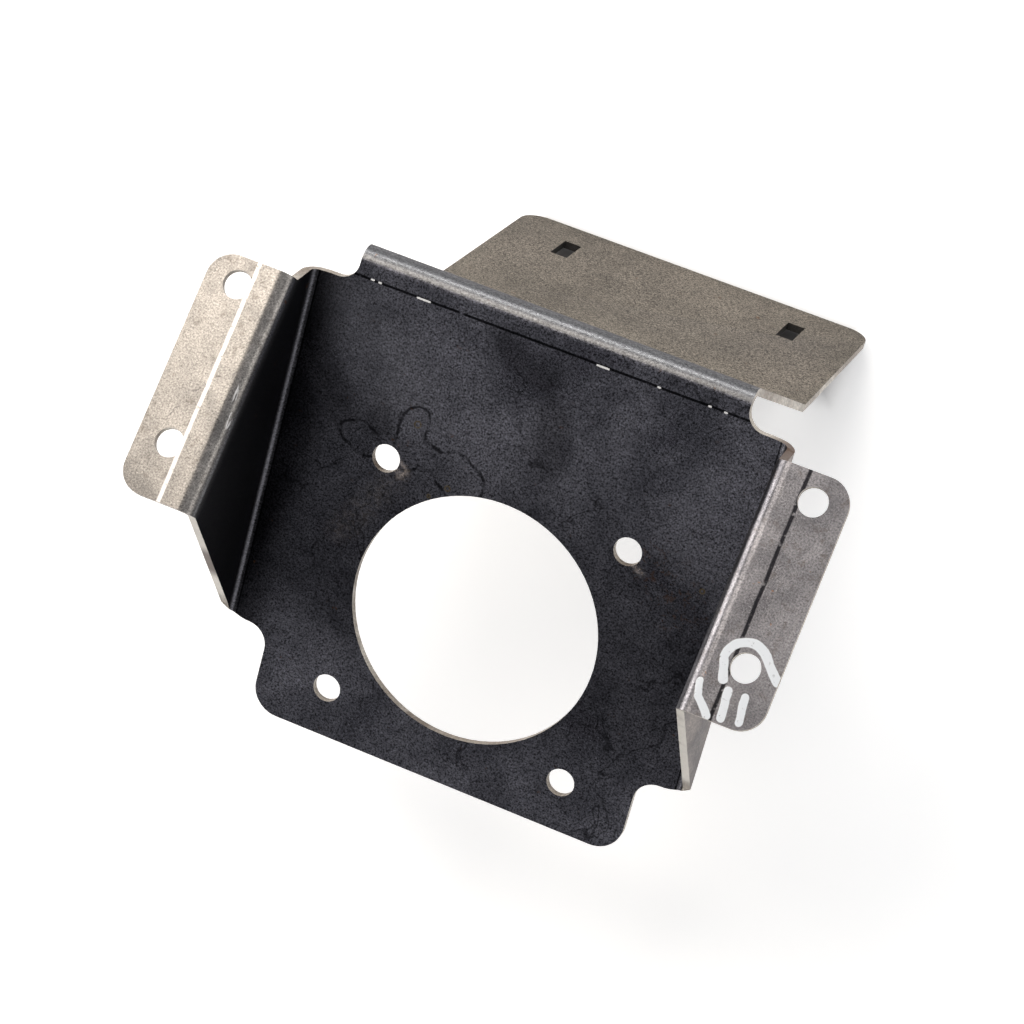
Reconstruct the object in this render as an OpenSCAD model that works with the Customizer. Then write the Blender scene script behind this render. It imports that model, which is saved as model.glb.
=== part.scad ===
// Fire extinguisher bracket, folded from one blank of steel sheet.
// It hangs from two mounting flanges. The origin lies midway between the four
// mounting holes, on the flanges' mounting face. +Z points out of that face,
// X runs across the bracket, and +Y points to the end that carries the ear.

/* [Sheet] */
// Thickness of the steel sheet
sheet_t = 2.5; // [1.5:0.1:3.5]
// Inside radius of every fold
fold_r = 2.5; // [1.5:0.1:4]

/* [Main plate] */
// Diameter of the large round hole
main_hole_d = 80; // [50:1:90]
// Spacing of the four holes round the large one, both ways
plate_hole_pitch = 80; // [76:1:88]
// Diameter of those four holes
plate_hole_d = 9; // [5:0.5:10]
// Distance from the large hole's centre to the plate's lower edge
plate_bottom = 56; // [52:1:75]
// Distance from the large hole's centre down to the lower notches
lower_notch_y = 28.5; // [20:0.5:32]
// Distance from the large hole's centre up to the upper notches
upper_notch_y = 90; // [84:1:98]
// Width of the lower tab, the web and the ear
tab_w = 126; // [116:1:132]
// Corner radius of the lower tab
tab_corner_r = 9; // [2:0.5:12]
// Radius inside the two lower notches
lower_notch_r = 7; // [2:0.5:8]
// Radius inside the two upper notches
upper_notch_r = 6; // [2:0.5:8]
// Width over which the plate's lower edge curves up to a side wall
foot_run = 9.7; // [6:0.1:11]
// Height of that curve at the side wall
foot_rise = 4.1; // [1:0.1:6]
// Width over which the plate's upper edge curves down to a side wall
shoulder_run = 9.7; // [6:0.1:11]
// Depth of that curve at the side wall
shoulder_fall = 1; // [0.2:0.1:3]

/* [Mounting flanges] */
// Spacing of the mounting holes across the bracket
mount_pitch_x = 184.2; // [180:0.2:200]
// Spacing of the mounting holes along a flange
mount_pitch_y = 51.2; // [44:0.2:60]
// Diameter of the mounting holes
mount_hole_d = 9; // [5:0.5:10]
// Distance from a mounting hole's centre to the inner face of the side wall
wall_inset = 14.9; // [13:0.1:17]
// Distance from a mounting hole's centre to the flange's outer edge
flange_edge = 10.4; // [8:0.1:20]
// Distance from the upper mounting holes to the flanges' upper end
flange_upper = 8.5; // [7:0.1:16]
// Distance from the lower mounting holes to the flanges' lower end
flange_lower = 17.6; // [10:0.1:22]
// Radius of the flanges' outer corners
flange_corner_r = 8; // [2:0.5:10]

/* [Main plate's place] */
// Lean of the main plate against the mounting face
plate_lean = 30; // [25:0.5:34]
// Distance of the large hole's centre behind the mounting holes' centre
plate_back = 36.9; // [30:0.1:42]
// Depth of the large hole's centre below the mounting face
plate_drop = 59.1; // [56:0.1:70]

/* [Ear] */
// Angle through which the sheet turns from the main plate into the web
web_turn = 110; // [95:0.5:120]
// Flat length of the web
web_len = 82.9; // [50:0.1:100]
// Angle through which the sheet turns back from the web into the ear
ear_turn = 21.2; // [5:0.1:35]
// Flat length of the ear
ear_len = 80.4; // [60:0.1:100]
// Radius of the ear's far corners
ear_corner_r = 8; // [2:0.5:14]
// Width of the two strap slots, across the bracket
slot_w = 6; // [3:0.5:12]
// Length of the two strap slots, along the ear
slot_len = 15; // [8:0.5:24]
// Spacing of the two strap slots
slot_pitch = 81.4; // [50:0.2:96]
// Distance from the slots' centres to the ear's far edge
slot_edge = 23; // [18:0.5:34]

/* [Hidden] */
$fn = 64;
// Largest turn between two points of a fold's outline
fold_step = 6;
// Overlap of flats with folds and corners, and overrun of cuts
lap = 1;
// How far inside its fold's lap a corner of the wall lies
seat = 0.02;
// Radius at the outside of every fold
outer_r = fold_r + sheet_t;
// Height up the main plate at which it starts to fold into the web
web_start = upper_notch_y + upper_notch_r;
// Half widths at the side walls' inner and outer faces
wall_in = mount_pitch_x / 2 - wall_inset;
wall_out = wall_in + sheet_t;
// Half width of the main plate's flat part
flat_half = wall_in - fold_r;
// Half widths of a flange's flat part, at the fold and at the outer edge
flange_in = wall_in + outer_r;
flange_out = mount_pitch_x / 2 + flange_edge;
// Ends of the flanges along Y
flange_top = mount_pitch_y / 2 + flange_upper;
flange_foot = -mount_pitch_y / 2 - flange_lower;

function ahead(a) = [cos(a), sin(a)];
function outward(a) = [-sin(a), cos(a)];

// Stations along the front face of a folded strip, each [point, heading].
// It starts at p, with heading a. Each step is [flat length, turn of the fold
// that follows], and a positive turn is towards the front.
function stations(steps, p, a, i = 0) =
    i == len(steps) ? [[p, a]] :
    let (
        q = p + steps[i][0] * ahead(a),
        turn = steps[i][1],
        r = turn > 0 ? fold_r : -outer_r,
        axis = q + r * outward(a),
        count = ceil(abs(turn) / fold_step)
    )
    turn == 0 ? concat([[p, a]], stations(steps, q, a, i + 1)) :
    concat(
        [[p, a]],
        [for (k = [0 : count - 1])
            [axis - r * outward(a + turn * k / count), a + turn * k / count]],
        stations(steps, axis - r * outward(a + turn), a + turn, i + 1)
    );

// Section of the sheet along such stations
module section(line) {
    back = [for (k = [len(line) - 1 : -1 : 0])
        line[k][0] - sheet_t * outward(line[k][1])];
    polygon(concat([for (s = line) s[0]], back));
}

// The main plate with the web and the ear, in side view, from the large
// hole's centre
ear_line = stations(
    [[web_start, -web_turn], [web_len, ear_turn], [ear_len, 0]], [0, 0], 0);
ear_end = ear_line[len(ear_line) - 1];
// A side wall from the main plate to above the flange
wall_line = stations(
    [[lap, 90], [plate_drop + plate_back, 0]], [flat_half - lap, 0], 0);
// A flange from the top of its side wall
flange_line = stations(
    [[lap, -90], [lap, 0]], [wall_in, -outer_r - lap], 90);

// Places what is drawn in the main plate's own frame: the origin is the large
// hole's centre on the plate's front face, and Y runs up the plate.
module in_plate_frame() {
    translate([0, -plate_back, -plate_drop])
        rotate([plate_lean, 0, 0])
            children();
}

// The same frame for a point [Y, Z] of the side view: its height up the plate
// and its distance in front of it
function to_plate(y, z) = [
    (y + plate_back) * cos(plate_lean) + (z + plate_drop) * sin(plate_lean),
    (z + plate_drop) * cos(plate_lean) - (y + plate_back) * sin(plate_lean)
];

// Drawn in the YZ plane and pushed along X
module across(width) {
    rotate([90, 0, 90])
        linear_extrude(width)
            children();
}

// Drawn in the XZ plane and pushed along Y, from y0 to y1
module along(y0, y1) {
    translate([0, y1, 0])
        rotate([90, 0, 0])
            linear_extrude(y1 - y0)
                children();
}

// Flat sheet with its front face at z = 0
module flat() {
    translate([0, 0, -sheet_t])
        linear_extrude(sheet_t)
            children();
}

// Strip centred on X from the X axis up to a height, upper corners rounded
module tab_outline(width, height, corner_r) {
    translate([-width / 2, 0])
        square([width, height - corner_r]);
    translate([corner_r - width / 2, 0])
        square([width - 2 * corner_r, height]);
    for (side = [-1, 1])
        translate([side * (width / 2 - corner_r), height - corner_r])
            circle(corner_r);
}

// What a rounded corner leaves of a square one at the origin. As an outline it
// fills the inside corner between the X and Y axes.
module corner(r) {
    difference() {
        translate([-lap, -lap])
            square(r + lap);
        translate([r, r])
            circle(r);
    }
}

// What a curve takes off the lower end of a strip whose side is the Y axis. The
// curve leaves the X axis at -run and reaches the strip's side at rise.
module end_curve(run, rise) {
    r = (run * run + rise * rise) / 2 / rise;
    difference() {
        translate([-run, -lap])
            square([run + lap, rise + lap]);
        translate([-run, r])
            circle(r);
    }
}

// Both curved ends of the plate where it meets the right-hand wall
module wall_ends() {
    translate([wall_out, -lower_notch_y])
        end_curve(foot_run, foot_rise);
    translate([wall_out, upper_notch_y])
        mirror([0, 1])
            end_curve(shoulder_run, shoulder_fall);
}

module main_outline() {
    mirror([0, 1])
        tab_outline(tab_w, plate_bottom, tab_corner_r);
    difference() {
        translate([-flat_half, -lower_notch_y])
            square([2 * flat_half, lower_notch_y + upper_notch_y]);
        for (side = [0, 1])
            mirror([side, 0])
                wall_ends();
    }
    for (side = [0, 1])
        mirror([side, 0]) {
            translate([tab_w / 2, -lower_notch_y])
                mirror([0, 1])
                    corner(lower_notch_r);
            translate([tab_w / 2, upper_notch_y])
                corner(upper_notch_r);
        }
}

module drill(d) {
    translate([0, 0, -sheet_t - lap])
        cylinder(d = d, h = sheet_t + 2 * lap);
}

module main_plate() {
    difference() {
        union() {
            flat()
                main_outline();
            web_and_ear();
        }
        drill(main_hole_d);
        for (x = [-1, 1], y = [-1, 1])
            translate([x, y, 0] * plate_hole_pitch / 2)
                drill(plate_hole_d);
    }
}

// The strip from the main plate's middle over the web to the ear's far edge
module web_and_ear() {
    difference() {
        translate([-tab_w / 2, 0, 0])
            across(tab_w)
                section(ear_line);
        translate([0, ear_end[0][0], ear_end[0][1]])
            rotate([ear_end[1], 0, 0])
                ear_cuts();
    }
}

// Strap slots and rounded corners, from the middle of the ear's far edge
module ear_cuts() {
    for (side = [-1, 1])
        translate([side * slot_pitch / 2, -slot_edge, 0])
            cube([slot_w, slot_len, 4 * sheet_t], center = true);
    for (side = [0, 1])
        mirror([side, 0, 0])
            translate([tab_w / 2, 0, -2 * sheet_t])
                rotate(180)
                    linear_extrude(4 * sheet_t)
                        corner(ear_corner_r);
}

// Right-hand wall with its fold from the main plate. Its ends curve through
// that fold and then run straight to the ends of the flange.
module wall() {
    difference() {
        intersection() {
            along(-lower_notch_y, upper_notch_y + plate_back)
                section(wall_line);
            translate([flat_half - 2 * lap, 0, 0])
                across(outer_r + 3 * lap)
                    polygon([
                        [-lower_notch_y, -2 * sheet_t],
                        [upper_notch_y, -2 * sheet_t],
                        [upper_notch_y, 0],
                        [upper_notch_y - shoulder_fall, fold_r],
                        to_plate(flange_top - seat, -outer_r - lap / 2),
                        to_plate(flange_foot + seat, -outer_r - lap / 2),
                        [foot_rise - lower_notch_y, fold_r],
                        [-lower_notch_y, 0]
                    ]);
        }
        translate([0, 0, -2 * sheet_t])
            linear_extrude(2 * sheet_t + fold_r)
                wall_ends();
    }
}

// Right-hand flange with its fold from the wall
module flange() {
    along(flange_foot, flange_top)
        section(flange_line);
    difference() {
        translate([flange_in, (flange_top + flange_foot) / 2, 0])
            rotate(-90)
                flat()
                    tab_outline(flange_top - flange_foot, flange_out - flange_in,
                                flange_corner_r);
        for (side = [-1, 1])
            translate([mount_pitch_x / 2, side * mount_pitch_y / 2, 0])
                drill(mount_hole_d);
    }
}

module bracket() {
    color([0.2, 0.2, 0.22])
        union() {
            in_plate_frame()
                main_plate();
            for (side = [0, 1])
                mirror([side, 0, 0]) {
                    in_plate_frame()
                        wall();
                    flange();
                }
        }
}

bracket();
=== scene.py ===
# %% [markdown]
# A fire extinguisher bracket, cut by laser from 2.5 mm steel sheet and folded on a press brake.
# The main plate has a big round hole, two side walls carry the mounting flanges, and an ear with
# two slots runs back from the top. All of it is one sheet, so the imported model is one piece. Here
# that piece gets softened edges, the marks of its making and its steel.

# %% Load the frame
import math

import bmesh
import bpy
from mathutils import Matrix, Quaternion, Vector
from mathutils.bvhtree import BVHTree


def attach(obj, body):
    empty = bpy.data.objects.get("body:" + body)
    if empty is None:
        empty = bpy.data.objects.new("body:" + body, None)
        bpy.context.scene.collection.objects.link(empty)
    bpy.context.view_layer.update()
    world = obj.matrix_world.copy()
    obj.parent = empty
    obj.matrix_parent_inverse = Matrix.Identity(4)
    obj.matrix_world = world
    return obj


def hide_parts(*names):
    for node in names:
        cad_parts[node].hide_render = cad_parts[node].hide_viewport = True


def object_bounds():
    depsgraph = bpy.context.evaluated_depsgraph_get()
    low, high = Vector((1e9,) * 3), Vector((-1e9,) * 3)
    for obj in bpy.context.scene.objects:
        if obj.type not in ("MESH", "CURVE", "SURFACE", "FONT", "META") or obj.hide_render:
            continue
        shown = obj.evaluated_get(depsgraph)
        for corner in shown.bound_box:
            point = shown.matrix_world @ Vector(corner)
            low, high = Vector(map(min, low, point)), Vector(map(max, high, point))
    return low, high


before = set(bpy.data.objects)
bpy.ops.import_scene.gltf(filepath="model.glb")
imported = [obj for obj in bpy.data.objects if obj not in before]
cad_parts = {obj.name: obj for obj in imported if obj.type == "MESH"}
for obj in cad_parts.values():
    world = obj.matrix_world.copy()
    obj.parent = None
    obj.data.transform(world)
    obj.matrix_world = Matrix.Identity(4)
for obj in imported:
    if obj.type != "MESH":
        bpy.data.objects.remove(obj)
cad_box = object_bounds()
mm = 0.001
print("CAD box in mm:", [[round(v / mm, 1) for v in corner] for corner in cad_box])

# %% [markdown]
# The frame has its origin midway between the four mounting holes, on the front of the flanges,
# with +Z towards the viewer. The main plate leans in that frame, so its own marks are easier to
# place in the plate's coordinates: the origin is the centre of the big hole, Y runs up the plate
# and Z comes out of its face.

# %% Sizes of the real sheet
sheet_t = 2.5 * mm
plate_lean = math.radians(30)
plate_centre = Vector((0, -36.9 * mm, -59.1 * mm))
to_plate_turn = Matrix.Rotation(-plate_lean, 3, "X")
to_plate_shift = -(to_plate_turn @ plate_centre)
wall_x = 79.7 * mm
print("The plate's centre lies", round(-plate_centre.z / mm, 1), "mm behind the flanges")
print("The side walls are", round(2 * wall_x / mm, 1), "mm apart over their outer faces")

# %% [markdown]
# The photograph was taken from in front, a little from the right and from below, with the bracket
# turned in the picture. Rather than aiming at a target, the camera is given the direction of its
# right side and of its top, measured in the frame, because the picture is rolled as well.

# %% Place the camera
camera_place = Vector((0.2456, -0.1211, 0.9777))
camera_right = Vector((0.9075, 0.3830, -0.1726)).normalized()
camera_up = Vector((-0.3510, 0.9170, 0.1898))
camera_back = camera_right.cross(camera_up).normalized()
camera_up = camera_back.cross(camera_right)
focal_px = 3504.3
frame_px = 1024
sensor_mm = 36

lens = bpy.data.cameras.new("camera")
lens.sensor_width = sensor_mm
lens.lens = focal_px / frame_px * sensor_mm
camera = bpy.data.objects.new("camera", lens)
bpy.context.collection.objects.link(camera)
turn = Matrix((camera_right, camera_up, camera_back)).transposed().to_4x4()
camera.matrix_world = Matrix.Translation(camera_place) @ turn
bpy.context.scene.camera = camera
print("Lens", round(lens.lens, 1), "mm")

# %% [markdown]
# Every shader below is wired by the same short helpers. A node's inputs are given by name or by
# number, and an input may be a plain value or another node's output.


# %% Helpers for wiring nodes
def feed(tree, socket, value):
    """Puts a value, or the output of another node, into a socket."""
    if isinstance(value, bpy.types.NodeSocket):
        tree.links.new(value, socket)
    elif isinstance(value, (tuple, list)) and len(value) == 3 and socket.type == "RGBA":
        socket.default_value = (*value, 1)
    else:
        socket.default_value = value


def add(tree, kind, out=0, inputs=None, **settings):
    """Adds a node and returns one of its outputs."""
    node = tree.nodes.new("ShaderNode" + kind)
    for name, value in settings.items():
        setattr(node, name, value)
    for key, value in (inputs or {}).items():
        feed(tree, node.inputs[key], value)
    return node.outputs[out]


# %% [markdown]
# Most masks are made by arithmetic, so the steps that come up again and again get a short name.


# %% Helpers for arithmetic in a shader
def calc(tree, operation, *values):
    """One step of arithmetic."""
    return add(tree, "Math", inputs=dict(enumerate(values)), operation=operation)


def vector(tree, operation, *values, out="Vector"):
    """One step of arithmetic on vectors."""
    return add(tree, "VectorMath", out=out, inputs=dict(enumerate(values)), operation=operation)


def scaled(tree, colour, factor):
    """A colour or a vector times one number."""
    return add(tree, "VectorMath", inputs={0: colour, "Scale": factor}, operation="SCALE")


def all_of(tree, masks, operation="MAXIMUM"):
    """Joins several masks into one."""
    joined = masks[0]
    for mask in masks[1:]:
        joined = calc(tree, operation, joined, mask)
    return joined


def times(tree, *masks):
    """The product of masks, which is 1 only where each of them is."""
    return all_of(tree, masks, "MULTIPLY")


def ramp(tree, value, low, high, to_low=0.0, to_high=1.0):
    """Maps low..high to to_low..to_high, with soft ends."""
    inputs = {"Value": value, "From Min": low, "From Max": high, "To Min": to_low, "To Max": to_high}
    return add(tree, "MapRange", inputs=inputs, interpolation_type="SMOOTHSTEP")


def number(tree, amount, first, second):
    """Mixes two numbers."""
    return add(tree, "Mix", inputs={"Factor": amount, 2: first, 3: second}, data_type="FLOAT")


def blend(tree, amount, first, second):
    """Mixes two colours."""
    return add(tree, "Mix", out=2, inputs={"Factor": amount, 6: first, 7: second}, data_type="RGBA")


def noise(tree, spot, scale, detail=3.0, rough=0.5, twist=0.0):
    """Cloudy noise from 0 to 1."""
    inputs = {"Vector": spot, "Scale": scale, "Detail": detail, "Roughness": rough, "Distortion": twist}
    return add(tree, "TexNoise", out="Fac", inputs=inputs)


# %% [markdown]
# An effect that both materials use is a node group, so it is built once and stays the same in both.


# %% Helpers for shared groups
def group(name, inputs, outputs):
    """Starts a shared node group and returns its tree, its inputs and the inputs of its end."""
    tree = bpy.data.node_groups.new(name, "ShaderNodeTree")
    for label, kind, value in inputs:
        socket = tree.interface.new_socket(label, in_out="INPUT", socket_type="NodeSocket" + kind)
        if value is not None:
            socket.default_value = value
    for label, kind in outputs:
        tree.interface.new_socket(label, in_out="OUTPUT", socket_type="NodeSocket" + kind)
    start = tree.nodes.new("NodeGroupInput")
    end = tree.nodes.new("NodeGroupOutput")
    return tree, start.outputs, end.inputs


def use(tree, shared, inputs):
    """Places a shared group in a tree and returns its first output."""
    node = tree.nodes.new("ShaderNodeGroup")
    node.node_tree = shared
    for key, value in inputs.items():
        feed(tree, node.inputs[key], value)
    return node.outputs[0]


# %% [markdown]
# Scaled steel is dark, but it shines. What makes its faces differ in a photograph is what each one
# mirrors: a big soft lamp up on the left, the pale floor, or a dim part of the room. So the world
# is bright over most of the sky and dim low in front, in the direction that the leaning plate
# mirrors. The camera itself sees plain white paper there.

# %% Light the room: the world
dim_way = Vector((-0.23, -0.80, 0.55)).normalized()
dim_from = 0.22
dim_full = 0.78
sky_level = 0.74
dim_level = 0.12
paper_white = 1.0
sky_colour = (0.97, 0.975, 1.0)

world = bpy.data.worlds.new("studio")
bpy.context.scene.world = world
world.use_nodes = True
sky = world.node_tree
sky.nodes.clear()
way = add(sky, "TexCoord", out="Generated")
facing = vector(sky, "DOT_PRODUCT", way, tuple(dim_way), out="Value")
level = ramp(sky, facing, dim_from, dim_full, sky_level, dim_level)
seen = add(sky, "LightPath", out="Is Camera Ray")
level = number(sky, seen, level, paper_white)
shade = add(sky, "Background", inputs={"Color": sky_colour, "Strength": level})
world_out = sky.nodes.new("ShaderNodeOutputWorld")
sky.links.new(shade, world_out.inputs["Surface"])
print("Sky level", sky_level, "and", dim_level, "where it is dim")

# %% [markdown]
# Four soft lamps stand round the bracket. The big key lamp is mirrored in the left flange, which is
# why that flange looks pale, and a painted reflection in its tint adds to that. The lamp beyond the ear
# draws the bright line along the top fold. The two at the sides lift the outer faces of the side walls
# out of the dark, and a painted light in their tint adds to that.


# %% Light the room: the lamps
def softbox(name, place, target, roll, width, height, brightness, colour):
    """A rectangular lamp of a stated brightness, where 1 is white paper."""
    lamp = bpy.data.lights.new(name, "AREA")
    lamp.shape = "RECTANGLE"
    lamp.size = width
    lamp.size_y = height
    lamp.energy = brightness * math.pi * width * height
    lamp.color = colour
    box = bpy.data.objects.new(name, lamp)
    box.location = place
    aim = (Vector(target) - Vector(place)).to_track_quat("-Z", "Y")
    box.rotation_euler = (aim @ Quaternion((0, 0, 1), math.radians(roll))).to_euler()
    box.visible_camera = False
    bpy.context.collection.objects.link(box)
    print(name, "shines at", brightness, "times white paper")


softbox("key_lamp", (-0.47, 0.27, 1.01), (0, 0, 0), 18, 0.48, 0.76, 4.6, (1.0, 0.925, 0.83))
softbox("fold_lamp", (-0.22, 0.95, 0.76), (0, 0.06, 0), 0, 0.50, 0.20, 10.5, (1.0, 0.99, 0.97))
softbox("left_lamp", (-1.08, 0.10, 0.34), (0, 0, 0), 0, 0.34, 0.60, 7.8, (1.0, 0.95, 0.90))
softbox("right_lamp", (1.10, 0.12, 0.12), (0, 0, 0), 0, 0.30, 0.50, 2.4, (1.0, 0.98, 0.96))
bpy.context.scene.view_settings.view_transform = "Standard"

# %% [markdown]
# The bracket hangs on a wall, so it can't rest in its own frame. The floor is a pale sheet at its
# lowest edge, wide enough to fill the picture and to be mirrored in the ear.

# %% Lay the floor
floor_z = cad_box[0][2]
floor_size = 12
bpy.ops.object.select_all(action="DESELECT")
bpy.ops.mesh.primitive_plane_add(size=floor_size, location=(0, 0, floor_z))
floor = bpy.context.object
floor.name = "floor"
print("The floor lies", round(-floor_z / mm, 1), "mm behind the flanges")

# %% [markdown]
# A little glow, for what the camera sees straight or mirrored, brings the paper up to white and
# leaves the shadow on it. The ear's slots look dark in the photograph, which these lamps don't
# give, so a small soft patch of paper behind them is painted grey and has no glow. It is a
# stand-in for that shade, and it can be seen on the floor from the sides.

# %% Colour of the floor
floor_glow = 0.41
paper_colour = (0.93, 0.93, 0.925)
shade_colour = (0.16, 0.16, 0.16)
patch_y = 98 * mm
patch_half = (47 * mm, 3 * mm)
patch_fade = 16 * mm


def shown(tree):
    """1 for what is seen straight, in a mirror or through glass, and 0 for what lights the piece."""
    kinds = ("Camera", "Glossy", "Transmission")
    return all_of(tree, [add(tree, "LightPath", out=f"Is {kind} Ray") for kind in kinds])


paper = bpy.data.materials.new("floor_paper")
paper.use_nodes = True
surface = paper.node_tree.nodes["Principled BSDF"]
surface.inputs["Roughness"].default_value = 0.9
surface.inputs["Specular IOR Level"].default_value = 0.1
surface.inputs["Emission Color"].default_value = (1, 1, 1, 1)
tree = paper.node_tree
place = add(tree, "TexCoord", out="Object")
floor_x, floor_y = (add(tree, "SeparateXYZ", out=axis, inputs={0: place}) for axis in "XY")
from_patch = [calc(tree, "ABSOLUTE", floor_x)]
from_patch.append(calc(tree, "ABSOLUTE", calc(tree, "SUBTRACT", floor_y, patch_y)))
clear = [ramp(tree, away, half, half + patch_fade) for away, half in zip(from_patch, patch_half)]
is_clear = all_of(tree, clear)
glow = times(tree, shown(tree), is_clear, floor_glow)
feed(tree, surface.inputs["Emission Strength"], glow)
feed(tree, surface.inputs["Base Color"], blend(tree, is_clear, shade_colour, paper_colour))
floor.data.materials.append(paper)
print("Nodes in", paper.name, len(tree.nodes))

# %% [markdown]
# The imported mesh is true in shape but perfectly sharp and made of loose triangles. A copy of it is
# merged and its flat triangles are joined, so that a bevel can run along the cut edges, as the
# burr of a laser cut is knocked off in the shop.

# %% Copy the sheet and join its triangles
merge_reach = 0.002 * mm
flat_angle = math.radians(0.2)
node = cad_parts["bracket"]
bpy.ops.object.select_all(action="DESELECT")
sheet = node.copy()
sheet.data = node.data.copy()
sheet.name = "folded_sheet"
bpy.context.collection.objects.link(sheet)
sheet.parent = None
sheet.matrix_world = Matrix.Identity(4)
bpy.context.view_layer.objects.active = sheet
sheet.select_set(True)
bpy.ops.object.mode_set(mode="EDIT")
bpy.ops.mesh.select_all(action="SELECT")
bpy.ops.mesh.remove_doubles(threshold=merge_reach)
bpy.ops.mesh.dissolve_limited(angle_limit=flat_angle)
bpy.ops.object.mode_set(mode="OBJECT")
print("Faces after joining:", len(sheet.data.polygons))

# %% [markdown]
# A sheet part has two kinds of surface: the rolled faces with their grey scale, and the cut edges,
# which are bare and tinted by heat. Each kind is a material of its own.

# %% Two materials for the sheet
rolled_slot = 0
cut_slot = 1
steel = bpy.data.materials.new("rolled_steel")
edge = bpy.data.materials.new("cut_edge_steel")
sheet.data.materials.clear()
sheet.data.materials.append(steel)
sheet.data.materials.append(edge)
print("Materials:", [material.name for material in sheet.data.materials])

# %% [markdown]
# From a rolled face the metal is always one sheet thick, so a ray sent inwards tells the two kinds
# of face apart. A face may have holes in it, so the ray starts in the middle of its largest
# triangle and not in its own middle.

# %% Tell rolled faces from cut edges
start_depth = 0.01 * mm
thickness_slack = 0.3 * mm
opposite = -0.9


def is_rolled(rays, face, spot):
    """True where the metal behind a spot of a face is one sheet thick."""
    start = spot - face.normal * start_depth
    hit, normal, index, distance = rays.ray_cast(start, -face.normal)
    if hit is None:
        return False
    return abs(distance - sheet_t) < thickness_slack and normal.dot(face.normal) < opposite


work = bmesh.new()
work.from_mesh(sheet.data)
work.normal_update()
rays = BVHTree.FromBMesh(work)
largest = {}
for corners in work.calc_loop_triangles():
    a, b, c = (corner.vert.co for corner in corners)
    area = (b - a).cross(c - a).length
    face = corners[0].face
    if face not in largest or area > largest[face][0]:
        largest[face] = (area, (a + b + c) / 3)
for face in work.faces:
    face.material_index = rolled_slot if is_rolled(rays, face, largest[face][1]) else cut_slot
work.to_mesh(sheet.data)
rolled = sum(1 for face in work.faces if face.material_index == rolled_slot)
print("Rolled faces:", rolled, "cut faces:", len(work.faces) - rolled)
work.free()

# %% [markdown]
# A bevel takes the sharpness off every cut edge. Folds meet flats without an edge, so they are
# shaded smooth, and weighted normals keep the big flats perfectly flat beside them.

# %% Soften the cut edges
softening = sheet.modifiers.new("softened_edges", "BEVEL")
softening.width = 0.22 * mm
softening.segments = 2
softening.limit_method = "ANGLE"
softening.angle_limit = math.radians(40)
softening.material = cut_slot
softening.harden_normals = False
bpy.ops.object.modifier_apply(modifier=softening.name)
bpy.ops.object.shade_smooth_by_angle(angle=math.radians(30))
evening = sheet.modifiers.new("flat_flats", "WEIGHTED_NORMAL")
evening.mode = "FACE_AREA"
evening.weight = 100
evening.keep_sharp = True
bpy.ops.object.modifier_apply(modifier=evening.name)
print("Faces with softened edges:", len(sheet.data.polygons))

# %% [markdown]
# Rolled steel has a cloudy scale with fine grain in it. The cloud changes both the colour and the
# shine, so one shared group gives both from the same noise.

# %% Shared effect: cloudy scale
cloud, cloud_in, cloud_out = group(
    "scale_cloud",
    [
        ("Vector", "Vector", None),
        ("Dark", "Color", (0.1, 0.1, 0.1, 1)),
        ("Light", "Color", (0.2, 0.2, 0.2, 1)),
        ("Grain size", "Float", 1300.0),
        ("Contrast", "Float", 1.0),
    ],
    [("Color", "Color"), ("Grain", "Float"), ("Cloud", "Float")],
)
broad_share = 0.65
speckle_gain = 2.4
darkest_speckle = 0.15
broad = noise(cloud, cloud_in["Vector"], 26, 5, 0.55, twist=0.4)
small = noise(cloud, cloud_in["Vector"], 130, 4, 0.6, twist=0.8)
fine = noise(cloud, cloud_in["Vector"], cloud_in["Grain size"], 2, 0.75)
broad_part = calc(cloud, "MULTIPLY", broad, broad_share)
mixed = calc(cloud, "MULTIPLY_ADD", small, 1 - broad_share, broad_part)
tone = blend(cloud, ramp(cloud, mixed, 0.34, 0.66), cloud_in["Dark"], cloud_in["Light"])
swing = calc(cloud, "MULTIPLY", calc(cloud, "SUBTRACT", fine, 0.5), cloud_in["Contrast"])
speckle = calc(cloud, "MULTIPLY_ADD", swing, speckle_gain, 1.0)
speckle = calc(cloud, "MAXIMUM", speckle, darkest_speckle)
feed(cloud, cloud_out["Color"], vector(cloud, "MULTIPLY", tone, speckle))
feed(cloud, cloud_out["Grain"], fine)
feed(cloud, cloud_out["Cloud"], broad)
print("Nodes in", cloud.name, len(cloud.nodes))

# %% [markdown]
# The tools of the press brake leave straight lines beside each fold. The shared group turns a
# distance from such a line into a mask that wavers a little and has gaps in it.

# %% Shared effect: a line left by a folding tool
line, line_in, line_out = group(
    "tool_line",
    [
        ("Vector", "Vector", None),
        ("Across", "Float", 0.0),
        ("Half width", "Float", 0.3 * mm),
        ("Gaps", "Float", 0.5),
    ],
    [("Mask", "Float")],
)
waver_reach = 0.4 * mm
waver = noise(line, line_in["Vector"], 120, 2)
waver = calc(line, "MULTIPLY_ADD", waver, waver_reach, -waver_reach / 2)
off = calc(line, "ABSOLUTE", calc(line, "ADD", line_in["Across"], waver))
off = calc(line, "DIVIDE", off, line_in["Half width"])
near = calc(line, "SUBTRACT", 1.0, ramp(line, off, 0.6, 1.3))
chance = calc(line, "SUBTRACT", noise(line, line_in["Vector"], 420, 2), line_in["Gaps"])
feed(line, line_out["Mask"], calc(line, "MULTIPLY", near, ramp(line, chance, -0.12, 0.02)))
print("Nodes in", line.name, len(line.nodes))

# %% [markdown]
# Most other marks are strokes: a scratch, a wipe, a dash of a paint pen. The shared group gives the
# distance of each point from a straight stroke, and each material decides how wide and how soft it
# is. Two ends at the same place make a dot, and a distance that is compared with a radius a ring.

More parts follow.
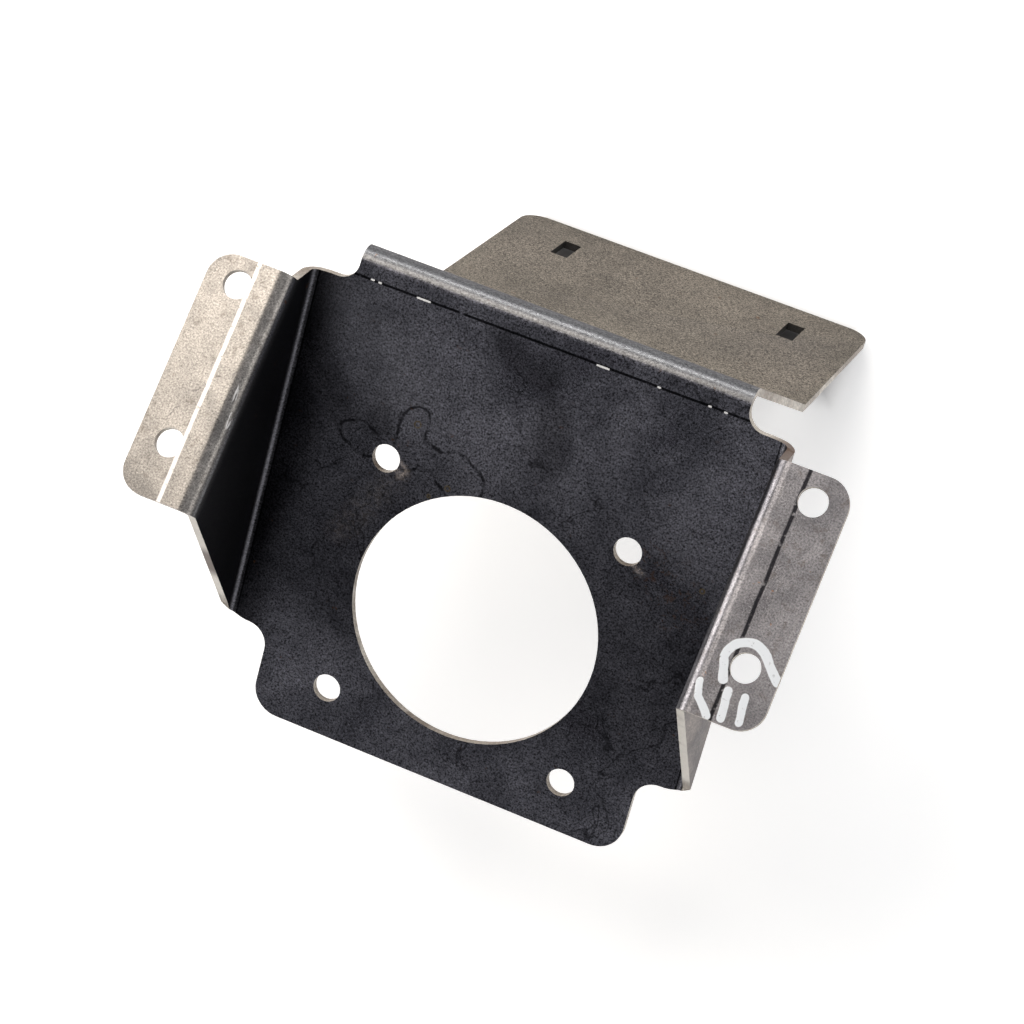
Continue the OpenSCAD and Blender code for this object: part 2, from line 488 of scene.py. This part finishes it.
# %% Shared effect: distance from a stroke
stroke, stroke_in, stroke_out = group(
    "stroke_distance",
    [("Vector", "Vector", None), ("From", "Vector", (0, 0, 0)), ("To", "Vector", (0, 0, 0))],
    [("Distance", "Float")],
)
almost_none = 1e-12
run = vector(stroke, "SUBTRACT", stroke_in["To"], stroke_in["From"])
reach = vector(stroke, "SUBTRACT", stroke_in["Vector"], stroke_in["From"])
along_run = vector(stroke, "DOT_PRODUCT", reach, run, out="Value")
run_square = vector(stroke, "DOT_PRODUCT", run, run, out="Value")
run_square = calc(stroke, "MAXIMUM", run_square, almost_none)
share = add(stroke, "Clamp", inputs={"Value": calc(stroke, "DIVIDE", along_run, run_square)})
foot = scaled(stroke, run, share)
gap = vector(stroke, "LENGTH", vector(stroke, "SUBTRACT", reach, foot), out="Value")
feed(stroke, stroke_out["Distance"], gap)
print("Nodes in", stroke.name, len(stroke.nodes))

# %% [markdown]
# Three small helpers place such strokes. Marks made by hand or by drying are never straight, so
# the last one moves a pattern's points about with noise.


# %% Helpers for marks
def from_stroke(tree, spot, start, end):
    """Distance from a stroke between two points given in mm."""
    ends = {"From": (start[0] * mm, start[1] * mm, 0), "To": (end[0] * mm, end[1] * mm, 0)}
    return use(tree, stroke, {"Vector": spot, **ends})


def inside(tree, distance, size, soft=0.2):
    """1 where a distance is less than a size in mm, with an edge that is soft by soft mm."""
    return ramp(tree, distance, (size - soft) * mm, (size + soft) * mm, 1.0, 0.0)


def shaken(tree, spot, scale, reach_mm):
    """Moves a pattern's points about, so that its outline looks made by hand."""
    push = add(tree, "TexNoise", out="Color", inputs={"Vector": spot, "Scale": scale, "Detail": 3.0})
    push = vector(tree, "SUBTRACT", push, (0.5, 0.5, 0.5))
    return vector(tree, "ADD", spot, scaled(tree, push, reach_mm * mm))


# %% [markdown]
# The rolled faces are one material. The scale differs from place to place, so the tree starts by
# finding out where a point is. The distance from the plate's own plane tells the plate from the
# rest, and the place in the frame tells the flanges and the ear apart. Each band below is the
# place where a mask begins and the place where it is full, or the other way round.

# %% Rolled faces: plate, flanges and ear
plate_skin = (0.15 * mm, 0.50 * mm)
flange_band = (-3.6 * mm, -1.6 * mm)
ear_depth_band = (-12 * mm, -24 * mm)
ear_height_band = (49 * mm, 54 * mm)
left_band = (-70 * mm, -76 * mm)

steel.use_nodes = True
tree = steel.node_tree
metal = tree.nodes["Principled BSDF"]
place = add(tree, "TexCoord", out="Object")
x, y, z = (add(tree, "SeparateXYZ", out=axis, inputs={0: place}) for axis in "XYZ")
turned = {"Vector": place, "Location": to_plate_shift, "Rotation": to_plate_turn.to_euler()}
on_plate = add(tree, "Mapping", inputs=turned)
plate_y, plate_z = (add(tree, "SeparateXYZ", out=axis, inputs={0: on_plate}) for axis in "YZ")
is_plate = ramp(tree, calc(tree, "ABSOLUTE", plate_z), *plate_skin, 1.0, 0.0)
is_flange = ramp(tree, z, *flange_band)
is_ear = times(tree, ramp(tree, z, *ear_depth_band), ramp(tree, y, *ear_height_band))
is_left = ramp(tree, x, *left_band)
print("Masks for the plate, the flanges, the ear and the left side")

# %% [markdown]
# The side walls need two masks, because their outer faces get a painted reflection that makes them
# pale and their inner faces get painted shade that makes them almost black. The web's underside shows
# beside the top fold and gets a painted reflection that makes it light. Its mask looks at the way the
# face points, since both sides of the sheet are in nearly the same place.

# %% Rolled faces: side walls and web
outer_skin = (wall_x - 0.7 * mm, wall_x - 0.2 * mm)
outer_top_band = (-5 * mm, -8 * mm)
inner_skin = (wall_x - 5.0 * mm, wall_x - 3.8 * mm)
inner_top_band = (-4 * mm, -9 * mm)
plate_front_band = (-1.2 * mm, -0.4 * mm)
under_depth_band = (-16 * mm, -20 * mm)
under_height_band = (46 * mm, 49 * mm)
facing_down = (-0.5, -0.8)

from_centre = calc(tree, "ABSOLUTE", x)
is_outer = times(tree, ramp(tree, from_centre, *outer_skin), ramp(tree, z, *outer_top_band))
is_inner = calc(tree, "SUBTRACT", ramp(tree, from_centre, *inner_skin), is_outer)
is_inner = times(tree, is_inner, ramp(tree, z, *inner_top_band), ramp(tree, plate_z, *plate_front_band))
is_inner = calc(tree, "MAXIMUM", is_inner, 0.0)
way_out = add(tree, "NewGeometry", out="True Normal")
facing_y = add(tree, "SeparateXYZ", out="Y", inputs={0: way_out})
is_under = times(tree, ramp(tree, z, *under_depth_band), ramp(tree, y, *under_height_band))
is_under = times(tree, is_under, ramp(tree, facing_y, *facing_down))
is_flat = all_of(tree, [is_plate, is_flange, is_ear, is_outer])
print("Masks for the walls' outer and inner faces and the web's underside")

# %% [markdown]
# Each region gets the same cloudy scale between its own dark and light grey. On the folds it looks
# even in the photograph. On the plate and the ear the grain is coarse and shows more.

# %% Rolled faces: the scale
scale_dark = (0.100, 0.100, 0.104)
scale_light = (0.205, 0.203, 0.206)
ear_dark = (0.150, 0.150, 0.152)
fold_dark = (0.150, 0.150, 0.155)
fold_light = (0.170, 0.170, 0.174)
grain_size = 1750.0
low_contrast = 1.1
high_contrast = 2.2

darkest = blend(tree, is_flat, fold_dark, blend(tree, is_ear, scale_dark, ear_dark))
lightest = blend(tree, is_flat, fold_light, scale_light)
is_coarse = calc(tree, "MAXIMUM", is_plate, is_ear)
contrast = ramp(tree, is_coarse, 0, 1, low_contrast, high_contrast)
scale_inputs = {"Vector": place, "Dark": darkest, "Light": lightest}
scale_inputs.update({"Grain size": grain_size, "Contrast": contrast})
colour = use(tree, cloud, scale_inputs)
clouds = colour.node.outputs
print("Scale from", scale_dark, "to", scale_light)

# %% [markdown]
# Scale isn't one colour. It is blue-grey on the plate and brown on the ear, partly its own colour and
# partly painted reflection. The pale warm left flange and the pale outer faces of the side walls are a
# painted reflection of the lamps, and so is the light underside of the web. The inner faces of the walls
# are painted shade, and the edge of the fold at their foot is a painted highlight. It is what each face
# mirrored in the photographer's room, which four plain lamps don't give, so it is put in the tints.

# %% Rolled faces: tints
plate_tint = (0.93, 0.93, 1.06)
ear_tint = (1.20, 1.08, 0.88)
left_reflection_tint = (1.42, 1.34, 1.22)
right_tint = (1.00, 0.98, 1.02)
outer_light_tint = (2.5, 2.25, 2.0)
under_light_tint = (2.7, 2.6, 2.45)
inner_tint = (1.0, 0.98, 1.05)
foot_highlight_band = (wall_x - 4.0 * mm, wall_x - 2.7 * mm)
foot_highlight_level = 1.7
inner_shade_level = 0.32

tint = blend(tree, is_plate, (1.0, 1.0, 1.0), plate_tint)
tint = blend(tree, is_ear, tint, ear_tint)
tint = blend(tree, is_flange, tint, blend(tree, is_left, right_tint, left_reflection_tint))
# Painted reflection: the outer faces of the walls and the web's underside are made lighter.
tint = blend(tree, is_outer, tint, outer_light_tint)
tint = blend(tree, is_under, tint, under_light_tint)
# Painted shade on the inner faces of the walls, with a painted highlight along the fold at their foot.
inner_shade_and_highlight = ramp(tree, from_centre, *foot_highlight_band, foot_highlight_level, inner_shade_level)
tint = blend(tree, is_inner, tint, scaled(tree, inner_tint, inner_shade_and_highlight))
colour = vector(tree, "MULTIPLY", colour, tint)
print("Tint of the plate", plate_tint, "and of the ear", ear_tint)

# %% [markdown]
# In the photograph the plate grows lighter towards its top and its foot. How much of that is scale and
# how much is light can't be told apart there. Along the left side wall the plate is darkened as painted
# shade, where it mirrors the dark wall.

# %% Rolled faces: light and dark parts of the plate
middle_level = 1.05
top_band = (5 * mm, 78 * mm)
top_level = 2.10
low_band = (-8 * mm, -42 * mm)
low_level = 1.90
wall_shade_band = (-75.5 * mm, -58 * mm)
wall_shade_level = 0.22

plate_level_and_wall_shade = ramp(tree, plate_y, *top_band, middle_level, top_level)
down_plate = ramp(tree, plate_y, *low_band, middle_level, low_level)
plate_level_and_wall_shade = calc(tree, "MAXIMUM", plate_level_and_wall_shade, down_plate)
# Painted shade along the left side wall.
plate_level_and_wall_shade = times(tree, plate_level_and_wall_shade, ramp(tree, x, *wall_shade_band, wall_shade_level, 1.0))
colour = scaled(tree, colour, number(tree, is_plate, 1.0, plate_level_and_wall_shade))
print("The plate's level runs from", middle_level, "in the middle to", top_level, "at the top")

# %% [markdown]
# Stains that dried on the plate left thin dark outlines. Each outline is the edge of a few round
# strokes joined together, shaken so that it wanders. Marks are listed with their ends in the
# plate's millimetres, then their size.

# %% Rolled faces: outlines of dried stains
stain_black = (0.008, 0.008, 0.010)
stain_depth = 0.80
stain_parts = [
    ((-34.5, 44), (-34.0, 55.5), 4.6),
    ((-31.0, 46), (-20.0, 46.0), 3.4),
    ((-18.0, 44), (-15.0, 42.0), 6.6),
]
ring_ends = ((-51, 45), (-47, 42))
ring_size = 4.4 * mm

wandering = shaken(tree, on_plate, 75, 7)
edges = [
    calc(tree, "SUBTRACT", from_stroke(tree, wandering, start, end), size * mm)
    for start, end, size in stain_parts
]
stain_edge = calc(tree, "ABSOLUTE", all_of(tree, edges, "MINIMUM"))
ring_edge = calc(tree, "SUBTRACT", from_stroke(tree, wandering, *ring_ends), ring_size)
stain_edge = calc(tree, "MINIMUM", stain_edge, calc(tree, "ABSOLUTE", ring_edge))
patchy = ramp(tree, noise(tree, on_plate, 210, 3), 0.40, 0.56, 0.40, 1.0)
outlines = times(tree, inside(tree, stain_edge, 0.50, 0.34), is_plate, patchy)
print("Stain outlines:", len(stain_parts) + 1)

# %% [markdown]
# Under the outlines lie a pale cloud near the top left corner, a few dark blots, and thin rings.
# The rings are a contour line of some noise, which gives closed wavering lines.

# %% Rolled faces: cloud, blots and rings
pale_ends = ((-60, 82), (-44, 66))
pale_grey = (0.52, 0.52, 0.56)
blot_black = (0.02, 0.02, 0.022)
ring_black = (0.010, 0.010, 0.012)
contour = 0.55
blots = [
    ((-46, 54), (-45, 49), 4.5),
    ((7, 72), (9, 58), 6.0),
    ((-14, 88), (2, 82), 5.0),
    ((-62, 58), (-56, 50), 5.0),
]

pale = times(tree, inside(tree, from_stroke(tree, wandering, *pale_ends), 11, 10), is_plate, 0.14)
colour = blend(tree, pale, colour, pale_grey)
blot_masks = [
    inside(tree, from_stroke(tree, wandering, start, end), size, 3.2)
    for start, end, size in blots
]
blot = times(tree, all_of(tree, blot_masks), is_plate, 0.42)
colour = blend(tree, blot, colour, blot_black)
rings = calc(tree, "SUBTRACT", noise(tree, on_plate, 52, 3, 0.5, twist=0.6), contour)
rings = ramp(tree, calc(tree, "ABSOLUTE", rings), 0.004, 0.012, 1.0, 0.0)
ring_places = ramp(tree, noise(tree, on_plate, 23, 2), 0.50, 0.58)
colour = blend(tree, times(tree, rings, ring_places, is_plate, 0.55), colour, ring_black)
colour = blend(tree, times(tree, outlines, stain_depth), colour, stain_black)
print("Blots:", len(blots))

# %% [markdown]
# There are small brown rings, as dried drops leave. A stroke with both ends in one place gives
# the distance from a point, and its difference from a radius gives a ring.

# %% Rolled faces: rings of small drops
drop_brown = (0.42, 0.30, 0.12)
drops = [((-33.0, 54.1), 1.0), ((-18.9, 38.0), 0.8), ((65.1, 36.7), 0.7), ((-24.0, 33.5), 0.5)]
drop_rings = []
for centre, size in drops:
    away = from_stroke(tree, on_plate, centre, centre)
    rim = calc(tree, "ABSOLUTE", calc(tree, "SUBTRACT", away, size * mm))
    drop_rings.append(inside(tree, rim, 0.25, 0.2))
colour = blend(tree, times(tree, all_of(tree, drop_rings), 0.55), colour, drop_brown)
print("Drops:", len(drops))

# %% [markdown]
# The scale is lighter beside two of the plate's small holes, and in a long faint band below one of
# them, as if it had been rubbed. Such a wipe is a soft stroke broken up by fine noise. Each is
# listed with its ends, its size and its strength.

# %% Rolled faces: wipes
dust_colour = (0.62, 0.53, 0.47)
wipes = [
    ((-35.4, 38.6), (-34.0, 37.6), 2.0, 1.0),
    ((-37, 33), (-49, 12), 3.8, 0.15),
    ((43.4, 36.6), (45.5, 35.4), 1.4, 0.55),
]
dust = []
for start, end, size, strength in wipes:
    wipe = inside(tree, from_stroke(tree, on_plate, start, end), size, size * 0.9)
    broken = ramp(tree, noise(tree, on_plate, 420, 4, 0.75), 0.42, 0.62, 0.12, 1.0)
    wipe = times(tree, wipe, broken, is_plate, strength)
    colour = blend(tree, wipe, colour, dust_colour)
    dust.append(wipe)
print("Wipes:", len(wipes))

# %% [markdown]
# Rust starts as specks all over the sheet. They are the peaks of one noise, and a broader noise
# thins them out in places. One patch right of the big hole has finer rust.

# %% Rolled faces: rust
rust_brown = (0.20, 0.095, 0.04)
rust_depth = 0.65
patch_ends = ((50, 38), (61, 28))
patch_share = 0.75

specks = ramp(tree, noise(tree, place, 240, 4, 0.65), 0.675, 0.72)
speck_area = ramp(tree, noise(tree, place, 17, 2), 0.42, 0.60, 0.25, 1.0)
rust_patch = inside(tree, from_stroke(tree, on_plate, *patch_ends), 8, 5)
fine_rust = ramp(tree, noise(tree, on_plate, 420, 3, 0.7, twist=1.2), 0.55, 0.64)
rust_patch = times(tree, rust_patch, is_plate, fine_rust, patch_share)
rust = calc(tree, "MAXIMUM", times(tree, specks, speck_area), rust_patch)
colour = blend(tree, times(tree, rust, rust_depth), colour, rust_brown)
print("Rust depth:", rust_depth)

# %% [markdown]
# The flanges were handled most. They carry darker freckles and fine slanting scratches, as from
# sliding over each other in a stack. A Mapping node turns and stretches a noise into scratches.

# %% Rolled faces: freckles and scratches of the flanges
freckle_brown = (0.07, 0.055, 0.045)
freckle_depth = 0.55
scratch_grey = (0.62, 0.60, 0.58)
scratch_depth = 0.09
scratch_turn = math.radians(-52)
scratch_stretch = (1.0, 0.05, 1.0)

freckles = ramp(tree, noise(tree, place, 300, 4, 0.7), 0.52, 0.66)
freckle_area = ramp(tree, noise(tree, place, 55, 3), 0.38, 0.58, 0.2, 0.8)
freckles = times(tree, freckles, freckle_area, is_flange, freckle_depth)
colour = blend(tree, freckles, colour, freckle_brown)
slanted = {"Vector": place, "Rotation": (0, 0, scratch_turn), "Scale": scratch_stretch}
slanted = add(tree, "Mapping", inputs=slanted)
scratches = ramp(tree, noise(tree, slanted, 900, 2, 0.5), 0.58, 0.74)
scratch_area = ramp(tree, noise(tree, place, 40, 2), 0.45, 0.60)
scratches = times(tree, scratches, scratch_area, is_flange, scratch_depth)
colour = blend(tree, scratches, colour, scratch_grey)
print("Depth of freckles", freckle_depth, "and of scratches", scratch_depth)

# %% [markdown]
# On the left flange a hair crack runs through the scale, and its fold is rubbed bright in one
# place. Both are drawn on the front of the flange, so their depth is taken out of the coordinates.

# %% Rolled faces: crack and scuff of the left flange
crack_black = (0.05, 0.045, 0.05)
crack_points = [(-96.4, -21.5), (-93.2, -10.6), (-90.0, -7.1), (-86.5, -2.5), (-80.7, 1.0)]
scuff_grey = (0.70, 0.69, 0.68)
scuff_ends = ((-79.9, -1.0), (-77.9, -15.0))
scuff_top_band = (-7 * mm, -5 * mm)
along_fold = (1.0, 0.12, 0.5)

from_front = vector(tree, "MULTIPLY", place, (1, 1, 0))
cracked = shaken(tree, from_front, 170, 4.0)
steps = zip(crack_points, crack_points[1:])
crack = all_of(tree, [from_stroke(tree, cracked, start, end) for start, end in steps], "MINIMUM")
crack = times(tree, inside(tree, crack, 0.20, 0.18), is_flange, 0.55)
colour = blend(tree, crack, colour, crack_black)
scuff = inside(tree, from_stroke(tree, from_front, *scuff_ends), 0.45, 0.35)
along = add(tree, "Mapping", inputs={"Vector": place, "Scale": along_fold})
scuff_streaks = ramp(tree, noise(tree, along, 1500, 2, 0.6), 0.50, 0.60)
scuff = times(tree, scuff, ramp(tree, z, *scuff_top_band), scuff_streaks)
colour = blend(tree, scuff, colour, scuff_grey)
dust.append(scuff)
print("Parts of the crack:", len(crack_points) - 1)

# %% [markdown]
# Short dark creases lie in the scale of the ear. They are placed across the ear and by their depth
# behind the flanges, which is the direction in which the ear runs.

# %% Rolled faces: creases of the ear
crease_black = (0.05, 0.05, 0.045)
creases = [
    ((-15, 160), (-6, 162)),
    ((4, 150), (14, 154)),
    ((8, 157), (17, 149)),
    ((-25, 127), (-17, 130)),
    ((36, 128), (41, 124)),
]
on_ear = add(tree, "CombineXYZ", inputs={"X": x, "Y": calc(tree, "MULTIPLY", z, -1.0)})
creased = shaken(tree, on_ear, 140, 5.0)
crease_masks = [
    inside(tree, from_stroke(tree, creased, start, end), 0.28, 0.28)
    for start, end in creases
]
crease = times(tree, all_of(tree, crease_masks), is_ear, 0.45)
colour = blend(tree, crease, colour, crease_black)
print("Creases in the ear's scale:", len(creases))

# %% [markdown]
# A paint pen has marked the right flange: an arch over its lower hole, which runs out into a tail,
# and a few dashes. The arch is the upper part of a ring, and the dashes are strokes.

# %% Rolled faces: the paint pen's mark
pen_white = (0.80, 0.83, 0.86)
arch_middle = (91.7, -24.9)
arch_radius = 6.5 * mm
arch_half_width = 1.35
arch_foot_band = (-25.2 * mm, -24.8 * mm)
arch_tail_band = (117.2 * mm, 116.6 * mm)
pen_strokes = [
    ((85.5, -25.5), (87.4, -31.0), 1.35),
    ((96.3, -20.3), (101.9, -26.2), 1.40),
    ((81.4, -33.8), (82.6, -38.0), 1.10),
    ((82.6, -38.0), (86.8, -42.2), 1.20),
    ((90.0, -33.6), (91.0, -41.4), 1.30),
    ((95.2, -33.4), (96.2, -40.8), 1.15),
]
by_hand = shaken(tree, from_front, 210, 0.9)
arch = calc(tree, "SUBTRACT", from_stroke(tree, by_hand, arch_middle, arch_middle), arch_radius)
arch = inside(tree, calc(tree, "ABSOLUTE", arch), arch_half_width, 0.15)
above_foot = ramp(tree, y, *arch_foot_band)
before_tail = ramp(tree, calc(tree, "SUBTRACT", x, y), *arch_tail_band)
pen_masks = [times(tree, arch, above_foot, before_tail)]
for start, end, size in pen_strokes:
    pen_masks.append(inside(tree, from_stroke(tree, by_hand, start, end), size, 0.12))
thin_paint = ramp(tree, noise(tree, from_front, 620, 4, 0.7), 0.30, 0.42, 0.35, 1.0)
paint = times(tree, all_of(tree, pen_masks), is_flange, thin_paint)
print("Strokes of the paint pen:", len(pen_masks))

# %% [markdown]
# The folding tools' lines are pressed through the scale and its stains. Below the top fold the line
# is a black groove. On the left flange it is white, a painted highlight where the groove catches the
# lamp, and on the right flange it stays dark. A thin black line also runs along the foot of each side wall.

# %% Rolled faces: lines of the folding tools
groove_black = (0.006, 0.006, 0.008)
groove_highlight_white = (0.80, 0.78, 0.76)
wall_groove_black = (0.003, 0.003, 0.004)
bend_line_y = 92.5 * mm
die_line_x = 88.1 * mm
wall_line_x = wall_x - 4.9 * mm
wall_line_band = (-9 * mm, -12 * mm)


def tool_line(across, half_width, gaps):
    """The mask of a line, from the distance across it and its half width in mm."""
    sizes = {"Across": across, "Half width": half_width * mm, "Gaps": gaps}
    return use(tree, line, {"Vector": place, **sizes})


bend_line = tool_line(calc(tree, "SUBTRACT", plate_y, bend_line_y), 0.42, 0.36)
bend_line = times(tree, bend_line, is_plate)
die_line = tool_line(calc(tree, "SUBTRACT", from_centre, die_line_x), 0.62, 0.42)
die_line = times(tree, die_line, is_flange)
# The left flange's die line is a painted highlight.
die_line_highlight = times(tree, die_line, is_left)
dark_die = calc(tree, "SUBTRACT", die_line, die_line_highlight)
dark_lines = calc(tree, "MAXIMUM", bend_line, dark_die)
colour = blend(tree, times(tree, dark_lines, 0.93), colour, groove_black)
colour = blend(tree, die_line_highlight, colour, groove_highlight_white)
wall_line = tool_line(calc(tree, "SUBTRACT", from_centre, wall_line_x), 0.26, 0.40)
wall_line = times(tree, wall_line, ramp(tree, z, *wall_line_band), 0.85)
colour = blend(tree, wall_line, colour, wall_groove_black)
print("Tool lines at", round(bend_line_y / mm, 1), "mm up the plate and", round(die_line_x / mm, 1), "across")

# %% [markdown]
# A few short bright spots lie on the groove below the top fold: painted glints, where its edge
# catches the lamp. The paint goes over everything, so its colour comes last.

# %% Rolled faces: painted glints and paint
glint_white = (0.90, 0.90, 0.90)
glint_spots = [
    ((-58.3, 92.6), (-57.6, 92.6)),
    ((-55.8, 92.5), (-55.2, 92.5)),
    ((-43.0, 92.3), (-39.0, 92.3)),
    ((15.6, 92.2), (19.2, 92.2)),
    ((35.0, 92.4), (35.6, 92.4)),
    ((51.2, 92.4), (51.7, 92.4)),
    ((56.2, 92.3), (56.8, 92.3)),
]
glint_spot_masks = [inside(tree, from_stroke(tree, on_plate, start, end), 0.32, 0.12) for start, end in glint_spots]
painted_glint = times(tree, all_of(tree, glint_spot_masks), is_plate)
colour = blend(tree, painted_glint, colour, glint_white)
colour = blend(tree, paint, colour, pen_white)
feed(tree, metal.inputs["Base Color"], colour)
print("Glints on the top line:", len(glint_spots))

# %% [markdown]
# Paint, dust, the painted glints and the painted highlight of the left die line aren't dark metal, so
# they take the metallic value down and the roughness up. A dark specular tint keeps the scale from
# turning into a mirror where it is seen at a glancing angle, since real scale is an oxide and not a
# polished metal.

# %% Rolled faces: shine
scale_metallic = 0.96
scale_tint = (0.42, 0.42, 0.44, 1)
shiny = 0.25
dull = 0.35
fold_roughness = 0.36
bare_roughness = 0.6

bare = [paint, times(tree, all_of(tree, dust), 0.9), painted_glint, times(tree, die_line_highlight, 0.6)]
bare = all_of(tree, bare)
lost = calc(tree, "MULTIPLY", bare, scale_metallic)
feed(tree, metal.inputs["Metallic"], calc(tree, "SUBTRACT", scale_metallic, lost))
metal.inputs["Specular Tint"].default_value = scale_tint
rough = ramp(tree, clouds["Cloud"], 0.3, 0.7, shiny, dull)
rough = number(tree, is_flat, fold_roughness, rough)
rough = calc(tree, "MAXIMUM", rough, calc(tree, "MULTIPLY", bare, bare_roughness))
feed(tree, metal.inputs["Roughness"], rough)
print("Roughness from", shiny, "to", bare_roughness)

# %% [markdown]
# The relief is slight: the grain of the scale, the grooves of the tools and the thickness of the
# paint. On the folds the grain is almost smooth, or the bright line along them would sparkle.

# %% Rolled faces: relief
fold_grain = 0.04
groove_depth = -1.5
paint_height = 1.2
relief_depth = 0.05 * mm

relief = times(tree, clouds["Grain"], ramp(tree, is_flat, 0, 1, fold_grain, 1.0))
grooves = calc(tree, "MAXIMUM", bend_line, die_line)
relief = calc(tree, "MULTIPLY_ADD", grooves, groove_depth, relief)
relief = calc(tree, "MULTIPLY_ADD", paint, paint_height, relief)
bumps = add(tree, "Bump", inputs={"Strength": 0.16, "Distance": relief_depth, "Height": relief})
feed(tree, metal.inputs["Normal"], bumps)
print("Nodes in", steel.name, len(tree.nodes))

# %% [markdown]
# A laser leaves the cut edges bare, with fine lines across them. The scale's shared group gives
# their cloudiness, with paler colours and less contrast.

# %% Cut edges: bare metal
bare_dark = (0.24, 0.195, 0.155)
bare_light = (0.56, 0.52, 0.46)
line_stretch = (1.0, 1.0, 0.12)

edge.use_nodes = True
tree = edge.node_tree
metal = tree.nodes["Principled BSDF"]
place = add(tree, "TexCoord", out="Object")
x, y, z = (add(tree, "SeparateXYZ", out=axis, inputs={0: place}) for axis in "XYZ")
edge_inputs = {"Vector": place, "Dark": bare_dark, "Light": bare_light}
edge_inputs.update({"Grain size": 1500.0, "Contrast": 0.6})
colour = use(tree, cloud, edge_inputs)
edge_grain = colour.node.outputs["Grain"]
stretched = add(tree, "Mapping", inputs={"Vector": place, "Scale": line_stretch})
laser_lines = noise(tree, stretched, 1700, 2, 0.6)
colour = scaled(tree, colour, ramp(tree, laser_lines, 0.35, 0.65, 0.78, 1.12))
print("Bare metal from", bare_dark, "to", bare_light)

# %% [markdown]
# The low ends of the side walls are palest, a painted highlight where they catch the lamps. Elsewhere
# the cut edges are brown in patches, as the heat of a laser leaves them, and most at two corners.

# %% Cut edges: painted highlight on the wall ends, and heat
end_highlight_light = (0.86, 0.82, 0.75)
end_highlight_share = 0.75
end_highlight_height_band = (-39 * mm, -42 * mm)
end_highlight_low_band = (-66 * mm, -60 * mm)
end_highlight_top_band = (-2 * mm, -6 * mm)
heat_brown = (0.065, 0.027, 0.012)
hot_reach = 13 * mm
hot_corners = [(-78.4 * mm, -51.5 * mm, -38 * mm), (80 * mm, 38 * mm, -11 * mm)]

end_highlight = times(tree, ramp(tree, y, *end_highlight_height_band), ramp(tree, z, *end_highlight_low_band))
end_highlight = times(tree, end_highlight, ramp(tree, z, *end_highlight_top_band), end_highlight_share)
colour = blend(tree, end_highlight, colour, end_highlight_light)
hot = ramp(tree, noise(tree, place, 70, 3, 0.6), 0.56, 0.68, 0.0, 0.45)
for corner in hot_corners:
    away = vector(tree, "DISTANCE", place, corner, out="Value")
    hot = calc(tree, "MAXIMUM", hot, ramp(tree, away, hot_reach * 0.4, hot_reach, 0.9, 0.0))
colour = blend(tree, hot, colour, heat_brown)
print("Hot corners:", len(hot_corners))

# %% [markdown]
# The ear's slots look black in the photograph, and why isn't known. Their cut faces are painted
# nearly black here to match, as painted shade. The absolute value of the coordinates finds both slots
# with one point, since one is the mirror image of the other.

# %% Cut edges: painted shade in the slots, shine and relief
slot_shade_black = (0.01, 0.01, 0.01)
slot_middle = (40.7 * mm, 96.2 * mm, 147.2 * mm)
slot_band = (9.5 * mm, 10.5 * mm)

one_side = vector(tree, "ABSOLUTE", place)
from_slot = vector(tree, "DISTANCE", one_side, slot_middle, out="Value")
colour = blend(tree, ramp(tree, from_slot, *slot_band, 0.93, 0.0), colour, slot_shade_black)
feed(tree, metal.inputs["Base Color"], colour)
metal.inputs["Metallic"].default_value = 0.40
metal.inputs["Roughness"].default_value = 0.45
edge_relief = calc(tree, "ADD", edge_grain, laser_lines)
bumps = add(tree, "Bump", inputs={"Strength": 0.3, "Distance": relief_depth, "Height": edge_relief})
feed(tree, metal.inputs["Normal"], bumps)
print("Nodes in", edge.name, len(tree.nodes))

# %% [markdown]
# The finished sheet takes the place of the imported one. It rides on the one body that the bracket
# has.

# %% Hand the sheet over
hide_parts("bracket")
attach(sheet, "root")
print("Triangles:", sum(len(face.vertices) - 2 for face in sheet.data.polygons))
